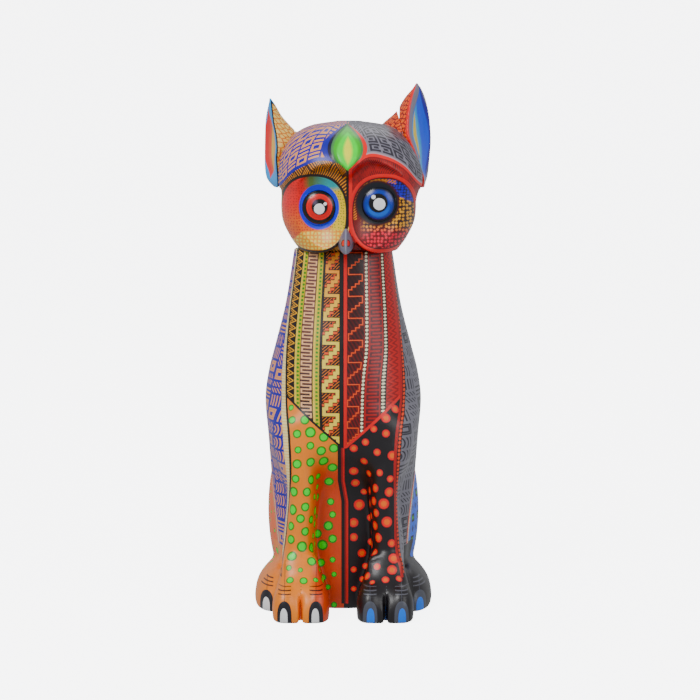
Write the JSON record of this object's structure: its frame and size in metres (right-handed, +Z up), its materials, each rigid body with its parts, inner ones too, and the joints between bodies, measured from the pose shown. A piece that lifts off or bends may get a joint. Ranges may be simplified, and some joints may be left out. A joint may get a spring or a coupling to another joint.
{
  "type": "alebrije figure",
  "caption": "Seated owl-headed cat figure in carved, painted wood, with push-in ears and tail.",
  "frame": {"origin": "on the surface the figure stands on, straight below the neck's axis, in the flat underside of the body", "axes": "+Z up the figure, -Y the way the face and the front paws point, +X to the right of a viewer in front"},
  "size_m": [0.1326, 0.2043, 0.383],
  "materials": {
    "painted_torso": "hand-painted bands of step frets, zigzags and beads, satin varnish",
    "painted_orange": "orange paint with green dots, satin varnish",
    "painted_black": "black paint with red and orange dots, satin varnish",
    "painted_head": "hand-painted dots, frets and hatching, satin varnish",
    "painted_eye": "painted rings with white highlights, gloss varnish",
    "painted_beak": "grey paint, satin varnish",
    "painted_ear": "blended flame in blue, violet and cream with scales, satin varnish",
    "painted_tail": "painted bands, satin varnish",
    "bare_wood": "turned and unpainted"
  },
  "bodies": {
    "figure": {"torso": "painted_torso", "foreleg_left": "painted_orange", "foreleg_right": "painted_black", "hind_paw_left": "painted_orange", "hind_paw_right": "painted_black", "head": "painted_head", "eye_left": "painted_eye", "eye_right": "painted_eye", "beak": "painted_beak", "neck_dowel": "bare_wood", "foreleg_dowels": "bare_wood", "hind_paw_dowels": "bare_wood"},
    "left_ear": {"ear_left": "painted_ear", "ear_peg_left": "bare_wood"},
    "right_ear": {"ear_right": "painted_ear", "ear_peg_right": "bare_wood"},
    "tail": {"tail": "painted_tail", "tail_peg": "bare_wood"}
  },
  "joints": [
    {"name": "left_ear_pull", "type": "slide", "parent": "figure", "child": "left_ear", "axis": [-0.9615, 0, 0.2747], "range_m": [0, 0.016]},
    {"name": "right_ear_pull", "type": "slide", "parent": "figure", "child": "right_ear", "axis": [0.9615, 0, 0.2747], "range_m": [0, 0.016]},
    {"name": "tail_pull", "type": "slide", "parent": "figure", "child": "tail", "axis": [0, 1, 0], "range_m": [0, 0.03]}
  ]
}
